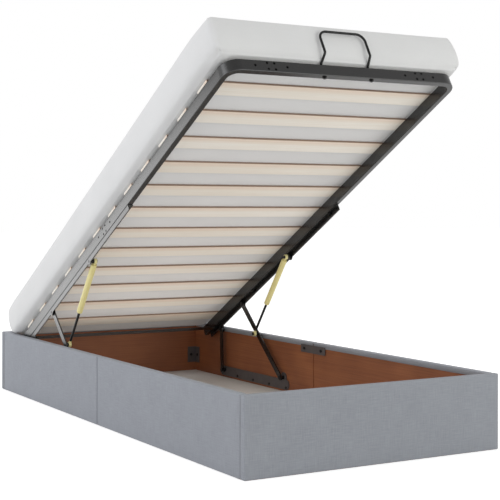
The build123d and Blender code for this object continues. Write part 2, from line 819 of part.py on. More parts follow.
# Grab handle: one bent wire through the foot tube, its loop standing clear of the mattress
kink_height = tube_height + handle_kink_height
handle_out = mattress_foot_overhang + handle_stand_off + handle_wire_radius
handle_points = (
    (handle_leg_x, handle_seat, -handle_tail),
    (handle_leg_x, handle_seat, tube_height + handle_rise),
    (handle_half_width, -handle_out, kink_height),
    (handle_half_width, -handle_out, tube_height + handle_top_height),
)
mirrored_points = tuple((-x, along, above) for x, along, above in reversed(handle_points))
half_bends = (handle_foot_bend_radius, handle_kink_radius, handle_corner_radius)
with BuildPart() as handle:
    with BuildLine(platform) as route:
        FilletPolyline(*handle_points, *mirrored_points, radius=half_bends + half_bends[::-1])
    with BuildSketch(Plane(origin=route.line @ 0, z_dir=route.line % 0)):
        Circle(handle_wire_radius)
    sweep()
save(handle.part, "handle")

with BuildPart(platform) as handle_nuts:
    for side_name, side in sides:
        with BuildSketch(platform.offset(-handle_nut_height)):
            with Locations((side * handle_leg_x, handle_seat)):
                RegularPolygon(handle_nut_width / 2, 6, major_radius=False)
                Circle(handle_wire_radius + fastener_clearance, mode=Mode.SUBTRACT)
        extrude(amount=handle_nut_height)
save(handle_nuts.part, "handle_nuts")

# Gas struts, drawn along their own axes from the arm's pin to the upper rail's post
cylinder_start = strut_length - cylinder_reach
neck_start = strut_length - eye_radius + strut_pin_head_height
cylinder_stop = neck_start - cylinder_cap
for side_name, side in sides:
    strut_origin = (side * strut_plane, *arm_pin)
    strut = Plane(origin=strut_origin, x_dir=(1, 0, 0), z_dir=strut_direction)
    bore_radius = cylinder_radius - cylinder_wall
    with BuildPart(strut) as cylinder:
        bar_along_z((0, 0), cylinder_radius, (cylinder_start, cylinder_stop))
        bore = (cylinder_start + cylinder_cap, cylinder_stop - cylinder_cap)
        bar_along_z((0, 0), bore_radius, bore, Mode.SUBTRACT)
        guide = (cylinder_start, cylinder_start + cylinder_cap)
        bar_along_z((0, 0), rod_radius + rod_clearance, guide, Mode.SUBTRACT)
        lips = cylinder.edges().filter_by(GeomType.CIRCLE).sort_by(SortBy.RADIUS)[-2:]
        fillet(lips, cylinder_wall)
    save(cylinder.part, f"{side_name}_gas_cylinder")

    with BuildPart(strut) as gas_rod:
        piston_start = cylinder_start + cylinder_cap + piston_clearance
        bar_along_z((0, 0), rod_radius, (eye_neck_end, piston_start + piston_length))
        piston = (piston_start, piston_start + piston_length)
        bar_along_z((0, 0), bore_radius - piston_clearance, piston)
    save(gas_rod.part, f"{side_name}_gas_rod")


def strut_eye(side, point, neck_span):
    """The eye at one end of a strut, with the neck that joins it to the rod or the cylinder."""
    strut_origin = (side * strut_plane, *point)
    strut = Plane(origin=strut_origin, x_dir=(1, 0, 0), z_dir=strut_direction)
    with BuildPart(strut) as eye:
        bar_along_x((0, 0), eye_radius, (-eye_width / 2, eye_width / 2))
        bar_along_x((0, 0), strut_pin_radius, (-eye_width, eye_width), Mode.SUBTRACT)
        bar_along_z((0, 0), eye_neck_radius, neck_span)
    return eye.part


neck_root = strut_pin_head_radius + collar_clearance
with BuildPart() as rod_eyes:
    for side_name, side in sides:
        add(strut_eye(side, arm_pin, (neck_root, eye_neck_end)))
save(rod_eyes.part, "rod_eyes")

with BuildPart() as cylinder_eyes:
    for side_name, side in sides:
        add(strut_eye(side, strut_top, (cylinder_stop - strut_length, -neck_root)))
save(cylinder_eyes.part, "cylinder_eyes")

# Rivets in the upper eyes, which stop just short of the upper rails' posts
with BuildPart() as cylinder_pins:
    for side_name, side in sides:
        shank = span(side, eye_inner, eye_outer + collar_clearance)
        head = span(side, eye_inner - strut_pin_head_height, eye_inner)
        bar_along_x(strut_top, strut_pin_radius, shank)
        bar_along_x(strut_top, strut_pin_head_radius, head)
save(cylinder_pins.part, "cylinder_pins")

print("front pivot", front_pivot, "rear pivot", rear_pivot)
print("arm top", arm_top, "rear top", rear_top, "strut top", strut_top, "arm pin", arm_pin)
print("strut length open", strut_length, "platform origin", platform_origin)
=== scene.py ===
"""Ottoman storage bed, open on its gas struts. Metres; X across, Y from foot to head, Z up."""

import json
from math import cos, pi, radians, sin

import bmesh
import bpy
import numpy as np
from mathutils import Matrix, Vector


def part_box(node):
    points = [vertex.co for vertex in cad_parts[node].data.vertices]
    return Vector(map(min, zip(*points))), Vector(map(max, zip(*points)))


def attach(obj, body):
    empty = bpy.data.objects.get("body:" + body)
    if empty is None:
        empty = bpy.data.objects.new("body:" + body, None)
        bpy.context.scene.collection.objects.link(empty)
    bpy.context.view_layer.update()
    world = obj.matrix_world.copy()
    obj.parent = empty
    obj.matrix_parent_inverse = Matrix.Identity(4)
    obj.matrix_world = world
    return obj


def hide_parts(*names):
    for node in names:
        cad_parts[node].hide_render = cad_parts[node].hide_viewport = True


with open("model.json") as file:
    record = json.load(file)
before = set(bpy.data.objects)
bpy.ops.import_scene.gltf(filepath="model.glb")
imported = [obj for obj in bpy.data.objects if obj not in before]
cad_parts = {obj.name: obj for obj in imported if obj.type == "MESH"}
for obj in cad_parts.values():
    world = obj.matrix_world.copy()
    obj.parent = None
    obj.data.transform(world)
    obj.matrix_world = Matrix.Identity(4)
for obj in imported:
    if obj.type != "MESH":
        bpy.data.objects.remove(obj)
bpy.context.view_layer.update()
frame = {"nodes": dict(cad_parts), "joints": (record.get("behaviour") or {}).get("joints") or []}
scene = bpy.context.scene
scene.view_settings.view_transform = "Standard"

# Camera: a long lens to the left of the foot end, a little over half as high as the open bed.
# Its place, turn and picture shift were fitted to the edges of the base and the platform.
photo_pixels = 500
sensor_width = 36
focal_pixels = 1238.28
level_line_shift_pixels = -40.71
camera_place = (-2.1969, -3.9969, 0.7663)
camera_yaw = radians(30.385)
camera_pitch = radians(-0.125)
camera_roll = radians(0.130)

ahead = np.array([sin(camera_yaw), cos(camera_yaw), 0]) * cos(camera_pitch)
ahead[2] = sin(camera_pitch)
level = np.array([cos(camera_yaw), -sin(camera_yaw), 0])
right = cos(camera_roll) * level + sin(camera_roll) * np.cross(level, ahead)
above = np.cross(right, ahead)
camera_data = bpy.data.cameras.new("product_shot")
camera_data.sensor_width = sensor_width
camera_data.lens = sensor_width * focal_pixels / photo_pixels
camera_data.shift_y = level_line_shift_pixels / photo_pixels
camera = bpy.data.objects.new("product_shot", camera_data)
turn = Matrix(np.column_stack([right, above, -ahead]).tolist()).to_4x4()
camera.matrix_world = Matrix.Translation(camera_place) @ turn
scene.collection.objects.link(camera)
scene.camera = camera


# Studio: a white room, brighter along its walls than its ceiling in what polished things mirror. Broad
# soft lamps light the object from the left, from the front and from above behind; a low one at the
# back left grazes the steel. The white floor keeps a soft shadow.
def linear(hex_colour):
    """A shader colour from an sRGB hex one, by the sRGB curve read backwards."""
    shares = [int(hex_colour[place:place + 2], 16) / 255 for place in (0, 2, 4)]
    return tuple([s / 12.92 if s <= 0.04045 else ((s + 0.055) / 1.055) ** 2.4 for s in shares] + [1])


def add_node(tree, kind, settings=(), links=()):
    """Add a shader node, set its properties or inputs by name or number, and link its inputs."""
    made = tree.nodes.new("ShaderNode" + kind)
    for key, value in dict(settings).items():
        if isinstance(key, str) and hasattr(made, key):
            setattr(made, key, value)
        else:
            made.inputs[key].default_value = value
    for key, source in dict(links).items():
        tree.links.new(source, made.inputs[key])
    return made


soft_light = 0.64
wall_glow = 1.0
ceiling_glow = 0.45
world = bpy.data.worlds.new("studio")
world.use_nodes = True
scene.world = world
tree = world.node_tree
tree.nodes.clear()
rays = add_node(tree, "LightPath")
mirrored = add_node(
    tree, "Math", {"operation": "MAXIMUM"},
    {0: rays.outputs["Is Glossy Ray"], 1: rays.outputs["Is Transmission Ray"]},
)
towards = add_node(tree, "TexCoord")
towards = add_node(tree, "SeparateXYZ", links={0: towards.outputs["Generated"]})
room = add_node(
    tree, "MapRange", {"From Min": 0.1, "From Max": 0.9, "To Min": wall_glow, "To Max": ceiling_glow},
    {"Value": towards.outputs["Z"]},
)
strength = add_node(
    tree, "Mix", {"data_type": "FLOAT", 2: soft_light}, {0: mirrored.outputs[0], 3: room.outputs[0]}
)
strength = add_node(
    tree, "Mix", {"data_type": "FLOAT", 3: 1.0},
    {0: rays.outputs["Is Camera Ray"], 2: strength.outputs[0]},
)
glow = add_node(tree, "Background", {"Color": (1, 1, 1, 1)}, {"Strength": strength.outputs[0]})
add_node(tree, "OutputWorld", links={"Surface": glow.outputs[0]})

# Each lamp's place, the point it looks at, its width and height, its power in watts and its colour.
# The one in the storage shines up at the slats and isn't mirrored in the steel.
lamps = {
    "left": ((-4.0, -0.2, 2.0), (-0.4, 0, 0.6), (2.6, 2.6), 45, "F9FBFF"),
    "front": ((1.4, -4.2, 1.3), (0, 0.2, 0.6), (2.8, 2.2), 38, "FDFFF9"),
    "back_top": ((0.8, 3.0, 3.6), (0, 0.4, 0.8), (2.4, 2.4), 42, "FFFFFF"),
    "back_graze": ((-1.95, 3.6, 0.6), (-0.4, 0.2, 0.5), (1.7, 1.9), 18, "FFFFFF"),
    "storage": ((0, -0.14, 0.235), (0, -0.14, 1.2), (0.78, 1.7), 1.85, "FFFAF5"),
}
for lamp_name, (lamp_place, aim, (lamp_width, lamp_height), lamp_power, lamp_colour) in lamps.items():
    lamp_data = bpy.data.lights.new(lamp_name, "AREA")
    lamp_data.shape = "RECTANGLE"
    lamp_data.size = lamp_width
    lamp_data.size_y = lamp_height
    lamp_data.energy = lamp_power
    lamp_data.color = linear(lamp_colour)[:3]
    lamp = bpy.data.objects.new(lamp_name, lamp_data)
    lamp.rotation_euler = (Vector(aim) - Vector(lamp_place)).to_track_quat("-Z", "Y").to_euler()
    lamp.location = lamp_place
    lamp.visible_camera = False
    lamp.visible_glossy = lamp_name != "storage"
    scene.collection.objects.link(lamp)

# Floor: white seamless paper. It glows a little where the camera or polished steel sees it, so that
# it stays white and keeps its shadow, and it throws no more light on the object for that.
floor_reach = 30
floor_lift = 0.56
floor_mesh = bpy.data.meshes.new("floor")
corners = [(x * floor_reach, y * floor_reach, 0) for x, y in ((-1, -1), (1, -1), (1, 1), (-1, 1))]
floor_mesh.from_pydata(corners, [], [(0, 1, 2, 3)])
floor = bpy.data.objects.new("floor", floor_mesh)
scene.collection.objects.link(floor)
white_floor = bpy.data.materials.new("white_studio_floor")
white_floor.use_nodes = True
tree = white_floor.node_tree
tree.nodes.clear()
rays = add_node(tree, "LightPath")
matt = add_node(tree, "BsdfDiffuse", {"Color": linear("E6E6E6")})
lift = add_node(tree, "Emission", {"Color": (1, 1, 1, 1), "Strength": floor_lift})
lifted = add_node(tree, "AddShader", links={0: matt.outputs[0], 1: lift.outputs[0]})
seen = add_node(
    tree, "Math", {"operation": "MAXIMUM"},
    {0: rays.outputs["Is Camera Ray"], 1: rays.outputs["Is Glossy Ray"]},
)
surface = add_node(
    tree, "MixShader", links={0: seen.outputs[0], 1: matt.outputs[0], 2: lifted.outputs[0]}
)
add_node(tree, "OutputMaterial", links={"Surface": surface.outputs[0]})
floor_mesh.materials.append(white_floor)


# Base covers: six lengths of grey linen-look cloth with a thin wadding, each pulled over its board,
# turned over the top edge and stapled down the inside, with a rolled edge at every joint.
roll_turns = 5


def stops(low, high, roll, step):
    """Places from low to high: equal turns of the roll at both ends, equal steps between."""
    turns = roll * (1 - np.tan(np.linspace(pi / 4, 0, roll_turns)))[:-1]
    count = max(2, int(round((high - low - 2 * roll) / step)) + 1)
    middle = np.linspace(low + roll, high - roll, count)
    return np.concatenate([low + turns, middle, (high - turns)[::-1]])


def rounded(points, low, high, roll):
    """Each point of a box's surface, taken to the nearest point of a box smaller by the roll all round
    and then set out again by the roll, so that every edge turns on it. The roll has three numbers,
    one along each axis."""
    inner = np.clip(points, low + roll, high - roll)
    out = (points - inner) / roll
    return inner + roll * out / np.linalg.norm(out, axis=-1, keepdims=True)


weld_distance = 0.00001


def joined_mesh(name, patches):
    """One mesh of several grids of points, welded where they meet. Each patch is an array of points
    by row and column, and an array of cloth lengths along and across it, in metres, for its UV map."""
    points, lengths, faces = [], [], []
    start = 0
    for grid, cloth in patches:
        rows, columns = grid.shape[:2]
        places = start + np.arange(rows * columns).reshape(rows, columns)
        quads = np.stack([places[:-1, :-1], places[:-1, 1:], places[1:, 1:], places[1:, :-1]], -1)
        faces.append(quads.reshape(-1, 4))
        points.append(grid.reshape(-1, 3))
        lengths.append(cloth.reshape(-1, 2))
        start += rows * columns
    mesh = bpy.data.meshes.new(name)
    mesh.from_pydata(np.concatenate(points).tolist(), [], np.concatenate(faces).tolist())
    uv = mesh.uv_layers.new(name="cloth")
    corner_points = np.zeros(len(mesh.loops), np.int32)
    mesh.loops.foreach_get("vertex_index", corner_points)
    uv.data.foreach_set("uv", np.concatenate(lengths)[corner_points].astype(np.float32).ravel())
    whole = bmesh.new()
    whole.from_mesh(mesh)
    bmesh.ops.remove_doubles(whole, verts=whole.verts, dist=weld_distance)
    bmesh.ops.recalc_face_normals(whole, faces=whole.faces)
    whole.to_mesh(mesh)
    whole.free()
    mesh.polygons.foreach_set("use_smooth", np.ones(len(mesh.polygons), bool))
    piece = bpy.data.objects.new(name, mesh)
    scene.collection.objects.link(piece)
    return piece


weld_gap = 0.000001
cloth_step = 0.02


def face_grid(low, high, roll, flat_axis, at, ranges):
    """A grid on one face of a box: flat_axis is the axis it faces and at its place on that axis.
    The ranges give the start and stop of a face that doesn't reach the box's edges, by axis."""
    axes = [axis for axis in range(3) if axis != flat_axis]
    runs = []
    for axis in axes:
        run = stops(low[axis], high[axis], roll[axis], cloth_step)
        if axis in ranges:
            start, stop = ranges[axis]
            kept = (run > start + weld_gap) & (run < stop - weld_gap)
            run = np.concatenate([[start], run[kept], [stop]])
        runs.append(run)
    across, along = np.meshgrid(*runs)
    grid = np.zeros(across.shape + (3,))
    grid[..., axes[0]] = across
    grid[..., axes[1]] = along
    grid[..., flat_axis] = at
    return grid


def cloth_lengths(grid, flat_axis):
    """Cloth lengths for a face's grid: its two other coordinates, with the height as the second."""
    across = {0: grid[..., 1], 1: grid[..., 0], 2: grid[..., 0]}[flat_axis]
    up = {0: grid[..., 2], 1: grid[..., 2], 2: grid[..., 1]}[flat_axis]
    return np.stack([across, up], -1)


board_depth_limit = 0.03
swell_flatness = 8
wadding_swell = 0.0012
edge_roll = 0.0036
seam_roll = 0.0065
cloth_thickness = 0.002
hem_tuck = 0.0008
joint_gap = 0.0018
end_tuck = 0.009
press_run = 0.005
side_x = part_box("left_foot_cover")[0].x
base_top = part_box("left_foot_cover")[1].z
wrap_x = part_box("left_foot_cover")[1].x
wrap_drop = 0.018
end_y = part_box("head_cover")[1].y
seam_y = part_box("left_foot_cover")[1].y
batten_clearance = 0.001
joint_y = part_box("side_battens")[1].y + batten_clearance


def cover(name, low, high, faces, wrap_face, wrap_range, roll):
    """A cloth cover as faces of one rounded box: the outer ones swell with the wadding, those across
    a joint come out to the next cover between their rolled edges, and the one that is turned down
    the inside ends in a hem that is tucked against the board."""
    low, high = np.array(low), np.array(high)
    patches = []
    for flat_axis, at, cut in faces:
        grid = face_grid(low, high, roll, flat_axis, at, cut)
        lengths = cloth_lengths(grid, flat_axis)
        shaped = rounded(grid, low, high, roll)
        if flat_axis != 2 and high[flat_axis] - low[flat_axis] < board_depth_limit:
            others = [axis for axis in range(3) if axis != flat_axis]
            swell = np.ones(grid.shape[:2])
            for axis in others:
                share = (grid[..., axis] - low[axis]) / (high[axis] - low[axis])
                swell *= 1 - np.abs(2 * share - 1) ** swell_flatness
            shaped[..., flat_axis] += np.sign(at) * wadding_swell * swell
        if flat_axis == 1 and wrap_face[0] == 0:
            from_inside = np.abs(grid[..., 0] - wrap_face[1])
            from_edge = np.minimum(from_inside, high[0] - low[0] - from_inside)
            pressed = np.clip((from_edge - roll[0]) / press_run, 0, 1)
            pressed *= np.clip((high[2] - grid[..., 2]) / roll[2], 0, 1)
            shaped[..., 1] += np.sign(at - (low[1] + high[1]) / 2) * joint_gap * pressed
        patches.append((shaped, lengths))
    flat_axis, at = wrap_face
    grid = face_grid(low, high, roll, flat_axis, at, {**wrap_range, 2: (high[2] - wrap_drop, high[2])})
    lengths = cloth_lengths(grid, flat_axis)
    shaped = rounded(grid, low, high, roll)
    shaped[0, :, flat_axis] += np.sign(at) * hem_tuck
    patches.append((shaped, lengths))
    piece = joined_mesh(name, patches)
    skin = piece.modifiers.new("cloth", "SOLIDIFY")
    skin.thickness = cloth_thickness
    skin.offset = -1
    piece.data.materials.append(linen)
    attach(piece, "base")
    return piece


linen = bpy.data.materials.new("grey_linen_weave")
linen.use_nodes = True
tree = linen.node_tree
shader = tree.nodes["Principled BSDF"]
shader.inputs["Roughness"].default_value = 0.88
shader.inputs["Specular IOR Level"].default_value = 0.25
shader.inputs["Sheen Weight"].default_value = 0.05
shader.inputs["Sheen Roughness"].default_value = 0.5
cloth_map = add_node(tree, "UVMap", {"uv_map": "cloth"})
# Real threads are about 0.6 mm apart; the slubs are drawn 2.5 mm wide so that the streaks show
thread = 0.0025
slub = 0.045
warp = add_node(tree, "Mapping", {"Scale": (1 / thread, 1 / slub, 1)}, {"Vector": cloth_map.outputs[0]})
weft = add_node(tree, "Mapping", {"Scale": (1 / slub, 1 / thread, 1)}, {"Vector": cloth_map.outputs[0]})
yarn = {"Scale": 1, "Detail": 3, "Roughness": 0.6}
warp = add_node(tree, "TexNoise", yarn, {"Vector": warp.outputs[0]})
weft = add_node(tree, "TexNoise", yarn, {"Vector": weft.outputs[0]})
weave = add_node(tree, "Math", {"operation": "ADD"}, {0: warp.outputs[0], 1: weft.outputs[0]})
weave = add_node(tree, "MapRange", {"From Min": 0.62, "From Max": 1.38}, {"Value": weave.outputs[0]})
patchy = add_node(tree, "TexNoise", {"Scale": 9, "Detail": 2}, {"Vector": cloth_map.outputs[0]})
tone = add_node(
    tree, "MapRange", {"From Min": 0.3, "From Max": 0.7, "To Min": -0.10, "To Max": 0.10},
    {"Value": patchy.outputs[0]},
)
weave_tone = add_node(tree, "Math", {"operation": "ADD"}, {0: weave.outputs[0], 1: tone.outputs[0]})
colour = add_node(
    tree, "Mix", {"data_type": "RGBA", 6: linear("8F9299"), 7: linear("A2A5AC")},
    {0: weave_tone.outputs[0]},
)
tree.links.new(colour.outputs[2], shader.inputs["Base Color"])
bump = add_node(tree, "Bump", {"Strength": 0.35, "Distance": 0.0006}, {"Height": weave.outputs[0]})
tree.links.new(bump.outputs[0], shader.inputs["Normal"])

for side_name, side in (("left", -1), ("right", 1)):
    outer, inner = side * abs(side_x), side * abs(wrap_x)
    for end_name, start, stop in (("foot", -joint_y, seam_y), ("head", seam_y, joint_y)):
        low = (min(outer, inner), start + joint_gap, 0)
        high = (max(outer, inner), stop - joint_gap, base_top)
        cut = {0: tuple(sorted((outer, inner + side * end_tuck)))}
        closed_at_top = {
            0: tuple(sorted((inner + side * end_tuck, inner))), 2: (base_top - wrap_drop, base_top)
        }
        faces = (
            (0, outer, {}), (2, base_top, {}), (1, low[1], cut), (1, high[1], cut),
            (1, low[1], closed_at_top), (1, high[1], closed_at_top),
        )
        roll = np.array([edge_roll, seam_roll, edge_roll])
        piece = cover(f"{side_name}_{end_name}_linen", low, high, faces, (0, inner), {}, roll)
        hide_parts(f"{side_name}_{end_name}_cover")

for end_name, end in (("foot", -1), ("head", 1)):
    outer, inner = end * abs(end_y), end * joint_y
    low = (-abs(side_x), min(outer, inner), 0)
    high = (abs(side_x), max(outer, inner), base_top)
    faces = ((1, outer, {}), (2, base_top, {}), (0, low[0], {}), (0, high[0], {}))
    roll = np.full(3, edge_roll)
    inside = {0: (-abs(wrap_x), abs(wrap_x))}
    piece = cover(f"{end_name}_linen", low, high, faces, (1, inner), inside, roll)
    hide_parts(f"{end_name}_cover")


# Boards: reddish brown paper-faced chipboard, sawn to size, with a printed grain along each board.
def dress(names, finish):
    """Give CAD nodes one finish."""
    for name in names:
        mesh = frame["nodes"][name].data
        mesh.materials.clear()
        mesh.materials.append(finish)


grain_length = 0.30
grain_width = 0.004
for finish_name, grain_scale, board_names in (
    (
        "brown_foil_grain_along_sides",
        (1 / grain_width, 1 / grain_length, 1 / grain_width),
        ("left_foot_board", "left_head_board", "right_foot_board", "right_head_board"),
    ),
    (
        "brown_foil_grain_along_ends",
        (1 / grain_length, 1 / grain_width, 1 / grain_width),
        ("foot_board", "head_board"),
    ),
):
    foil = bpy.data.materials.new(finish_name)
    foil.use_nodes = True
    tree = foil.node_tree
    shader = tree.nodes["Principled BSDF"]
    shader.inputs["Roughness"].default_value = 0.55
    place = add_node(tree, "TexCoord")
    streak = add_node(tree, "Mapping", {"Scale": grain_scale}, {"Vector": place.outputs["Object"]})
    streak = add_node(
        tree, "TexNoise", {"Scale": 1, "Detail": 5, "Roughness": 0.65}, {"Vector": streak.outputs[0]}
    )
    broad = add_node(tree, "TexNoise", {"Scale": 5, "Detail": 2}, {"Vector": place.outputs["Object"]})
    figure = add_node(tree, "Math", {"operation": "ADD"}, {0: streak.outputs[0], 1: broad.outputs[0]})
    figure = add_node(
        tree, "MapRange", {"From Min": 0.65, "From Max": 1.35}, {"Value": figure.outputs[0]}
    )
    colour = add_node(
        tree, "Mix", {"data_type": "RGBA", 6: linear("723F24"), 7: linear("9D5F38")},
        {0: figure.outputs[0]},
    )
    tree.links.new(colour.outputs[2], shader.inputs["Base Color"])
    bump = add_node(tree, "Bump", {"Strength": 0.1, "Distance": 0.0003}, {"Height": streak.outputs[0]})
    tree.links.new(bump.outputs[0], shader.inputs["Normal"])
    dress(board_names, foil)

# Storage floor: two sheets of thin hardboard, painted white on the face, a little mottled by its fibres.
fibre = 0.004
hardboard = bpy.data.materials.new("white_faced_hardboard")
hardboard.use_nodes = True
tree = hardboard.node_tree
shader = tree.nodes["Principled BSDF"]
shader.inputs["Roughness"].default_value = 0.45
place = add_node(tree, "TexCoord")
mottle = add_node(
    tree, "TexNoise", {"Scale": 1 / fibre, "Detail": 3}, {"Vector": place.outputs["Object"]}
)
colour = add_node(
    tree, "Mix", {"data_type": "RGBA", 6: linear("D3D1CD"), 7: linear("DEDCD8")}, {0: mottle.outputs[0]}
)
tree.links.new(colour.outputs[2], shader.inputs["Base Color"])
bump = add_node(tree, "Bump", {"Strength": 0.1, "Distance": 0.0002}, {"Height": mottle.outputs[0]})
tree.links.new(bump.outputs[0], shader.inputs["Normal"])
dress(("foot_floor_panel", "head_floor_panel"), hardboard)

# Battens and rest blocks: planed pine, with the growth rings drawn out along each piece.
ring_width = 0.006
ring_length = 0.25
pine = bpy.data.materials.new("planed_pine")
pine.use_nodes = True
tree = pine.node_tree
shader = tree.nodes["Principled BSDF"]
shader.inputs["Roughness"].default_value = 0.6
place = add_node(tree, "TexCoord")
rings = add_node(
    tree, "Mapping", {"Scale": (1 / ring_length, 1 / ring_length, 1 / ring_width)},
    {"Vector": place.outputs["Object"]},
)
rings = add_node(tree, "TexNoise", {"Scale": 1, "Detail": 4}, {"Vector": rings.outputs[0]})
colour = add_node(
    tree, "Mix", {"data_type": "RGBA", 6: linear("B98F5E"), 7: linear("DDBE90")}, {0: rings.outputs[0]}
)
tree.links.new(colour.outputs[2], shader.inputs["Base Color"])
bump = add_node(tree, "Bump", {"Strength": 0.15, "Distance": 0.0003}, {"Height": rings.outputs[0]})
tree.links.new(bump.outputs[0], shader.inputs["Normal"])
dress(("side_battens", "cross_battens", "foot_rests"), pine)

# Joint plates, corner brackets and base rails: pressed mild steel with a thin grey-brown dip paint.
orange_peel = 0.0012
dip_paint = bpy.data.materials.new("dark_dip_painted_steel")
dip_paint.use_nodes = True
tree = dip_paint.node_tree
shader = tree.nodes["Principled BSDF"]
shader.inputs["Roughness"].default_value = 0.5
place = add_node(tree, "TexCoord")
cloudy = add_node(tree, "TexNoise", {"Scale": 30, "Detail": 3}, {"Vector": place.outputs["Object"]})
colour = add_node(
    tree, "Mix", {"data_type": "RGBA", 6: linear("4A4444"), 7: linear("5C5655")}, {0: cloudy.outputs[0]}
)
tree.links.new(colour.outputs[2], shader.inputs["Base Color"])
peel = add_node(
    tree, "TexNoise", {"Scale": 1 / orange_peel, "Detail": 1}, {"Vector": place.outputs["Object"]}
)
bump = add_node(tree, "Bump", {"Strength": 0.1, "Distance": 0.0002}, {"Height": peel.outputs[0]})
tree.links.new(bump.outputs[0], shader.inputs["Normal"])
dress(("seam_plates", "corner_brackets", "left_base_rail", "right_base_rail"), dip_paint)

# Tube frame, rails and links: steel with a black satin powder coat, baked on, which leaves a fine
# orange peel and a grey sheen where light grazes it.
powder = bpy.data.materials.new("black_satin_powder_coat")
powder.use_nodes = True
tree = powder.node_tree
shader = tree.nodes["Principled BSDF"]
shader.inputs["IOR"].default_value = 1.7
shader.inputs["Roughness"].default_value = 0.27
place = add_node(tree, "TexCoord")
cloudy = add_node(tree, "TexNoise", {"Scale": 14, "Detail": 3}, {"Vector": place.outputs["Object"]})
colour = add_node(
    tree, "Mix", {"data_type": "RGBA", 6: linear("0B0A0A"), 7: linear("131211")}, {0: cloudy.outputs[0]}
)
tree.links.new(colour.outputs[2], shader.inputs["Base Color"])
peel = add_node(
    tree, "TexNoise", {"Scale": 1 / orange_peel, "Detail": 1}, {"Vector": place.outputs["Object"]}
)
bump = add_node(tree, "Bump", {"Strength": 0.08, "Distance": 0.0002}, {"Height": peel.outputs[0]})
tree.links.new(bump.outputs[0], shader.inputs["Normal"])
dress(
    ("tube_frame", "left_upper_rail", "right_upper_rail", "tie_strap", "left_lift_arm", "right_lift_arm",
     "left_rear_link", "right_rear_link"),
    powder,
)

# Grab handle: bent steel wire dipped in a thick black paint, which leaves it smooth, deep black and
# a little glossy.
gloss_paint = bpy.data.materials.new("black_gloss_dip_paint")
gloss_paint.use_nodes = True
tree = gloss_paint.node_tree
shader = tree.nodes["Principled BSDF"]
shader.inputs["Roughness"].default_value = 0.3
shader.inputs["Specular IOR Level"].default_value = 0.3
place = add_node(tree, "TexCoord")
runs = add_node(tree, "TexNoise", {"Scale": 60, "Detail": 2}, {"Vector": place.outputs["Object"]})
colour = add_node(
    tree, "Mix", {"data_type": "RGBA", 6: linear("0A0A0A"), 7: linear("121212")}, {0: runs.outputs[0]}
)
tree.links.new(colour.outputs[2], shader.inputs["Base Color"])
bump = add_node(tree, "Bump", {"Strength": 0.05, "Distance": 0.0003}, {"Height": runs.outputs[0]})
tree.links.new(bump.outputs[0], shader.inputs["Normal"])
dress(("handle",), gloss_paint)

# Bolts, screws, nuts and pivot studs: steel, blackened in an oxide bath and oiled.
black_oxide = bpy.data.materials.new("black_oxide_steel")
black_oxide.use_nodes = True
tree = black_oxide.node_tree
shader = tree.nodes["Principled BSDF"]
shader.inputs["Metallic"].default_value = 0.6
shader.inputs["Roughness"].default_value = 0.4
place = add_node(tree, "TexCoord")
blotch = add_node(tree, "TexNoise", {"Scale": 220, "Detail": 2}, {"Vector": place.outputs["Object"]})
colour = add_node(
    tree, "Mix", {"data_type": "RGBA", 6: linear("141414"), 7: linear("2A2928")}, {0: blotch.outputs[0]}
)
tree.links.new(colour.outputs[2], shader.inputs["Base Color"])
dress(
    ("seam_bolts", "corner_bolts", "rail_screws", "base_pivots", "arm_pins", "platform_pivots",
     "upper_rail_bolts", "rear_link_pins", "handle_nuts", "slat_screws", "cylinder_pins"),
    black_oxide,
)

# Gas struts: a pale yellow enamelled cylinder, its rod nitrided black and polished, nylon eyes.
enamel = bpy.data.materials.new("pale_yellow_enamel")
enamel.use_nodes = True
tree = enamel.node_tree
shader = tree.nodes["Principled BSDF"]
shader.inputs["Roughness"].default_value = 0.38
shader.inputs["Coat Weight"].default_value = 0.2
place = add_node(tree, "TexCoord")
cloudy = add_node(tree, "TexNoise", {"Scale": 25, "Detail": 2}, {"Vector": place.outputs["Object"]})
colour = add_node(
    tree, "Mix", {"data_type": "RGBA", 6: linear("DCD08A"), 7: linear("EADF9F")}, {0: cloudy.outputs[0]}
)
tree.links.new(colour.outputs[2], shader.inputs["Base Color"])
dress(("left_gas_cylinder", "right_gas_cylinder"), enamel)

nylon = bpy.data.materials.new("yellow_nylon")
nylon.use_nodes = True
tree = nylon.node_tree
shader = tree.nodes["Principled BSDF"]
shader.inputs["Roughness"].default_value = 0.5
place = add_node(tree, "TexCoord")
grainy = add_node(tree, "TexNoise", {"Scale": 600, "Detail": 2}, {"Vector": place.outputs["Object"]})
colour = add_node(
    tree, "Mix", {"data_type": "RGBA", 6: linear("D9CE8E"), 7: linear("E8DFA6")}, {0: grainy.outputs[0]}
)
tree.links.new(colour.outputs[2], shader.inputs["Base Color"])
dress(("rod_eyes", "cylinder_eyes"), nylon)

nitrided = bpy.data.materials.new("nitrided_rod_steel")
nitrided.use_nodes = True
tree = nitrided.node_tree
shader = tree.nodes["Principled BSDF"]
shader.inputs["Roughness"].default_value = 0.3
shader.inputs["Specular IOR Level"].default_value = 0.3
place = add_node(tree, "TexCoord")
fine = add_node(tree, "TexNoise", {"Scale": 900, "Detail": 1}, {"Vector": place.outputs["Object"]})
colour = add_node(
    tree, "Mix", {"data_type": "RGBA", 6: linear("060606"), 7: linear("0D0D0D")}, {0: fine.outputs[0]}
)
tree.links.new(colour.outputs[2], shader.inputs["Base Color"])
dress(("left_gas_rod", "right_gas_rod"), nitrided)

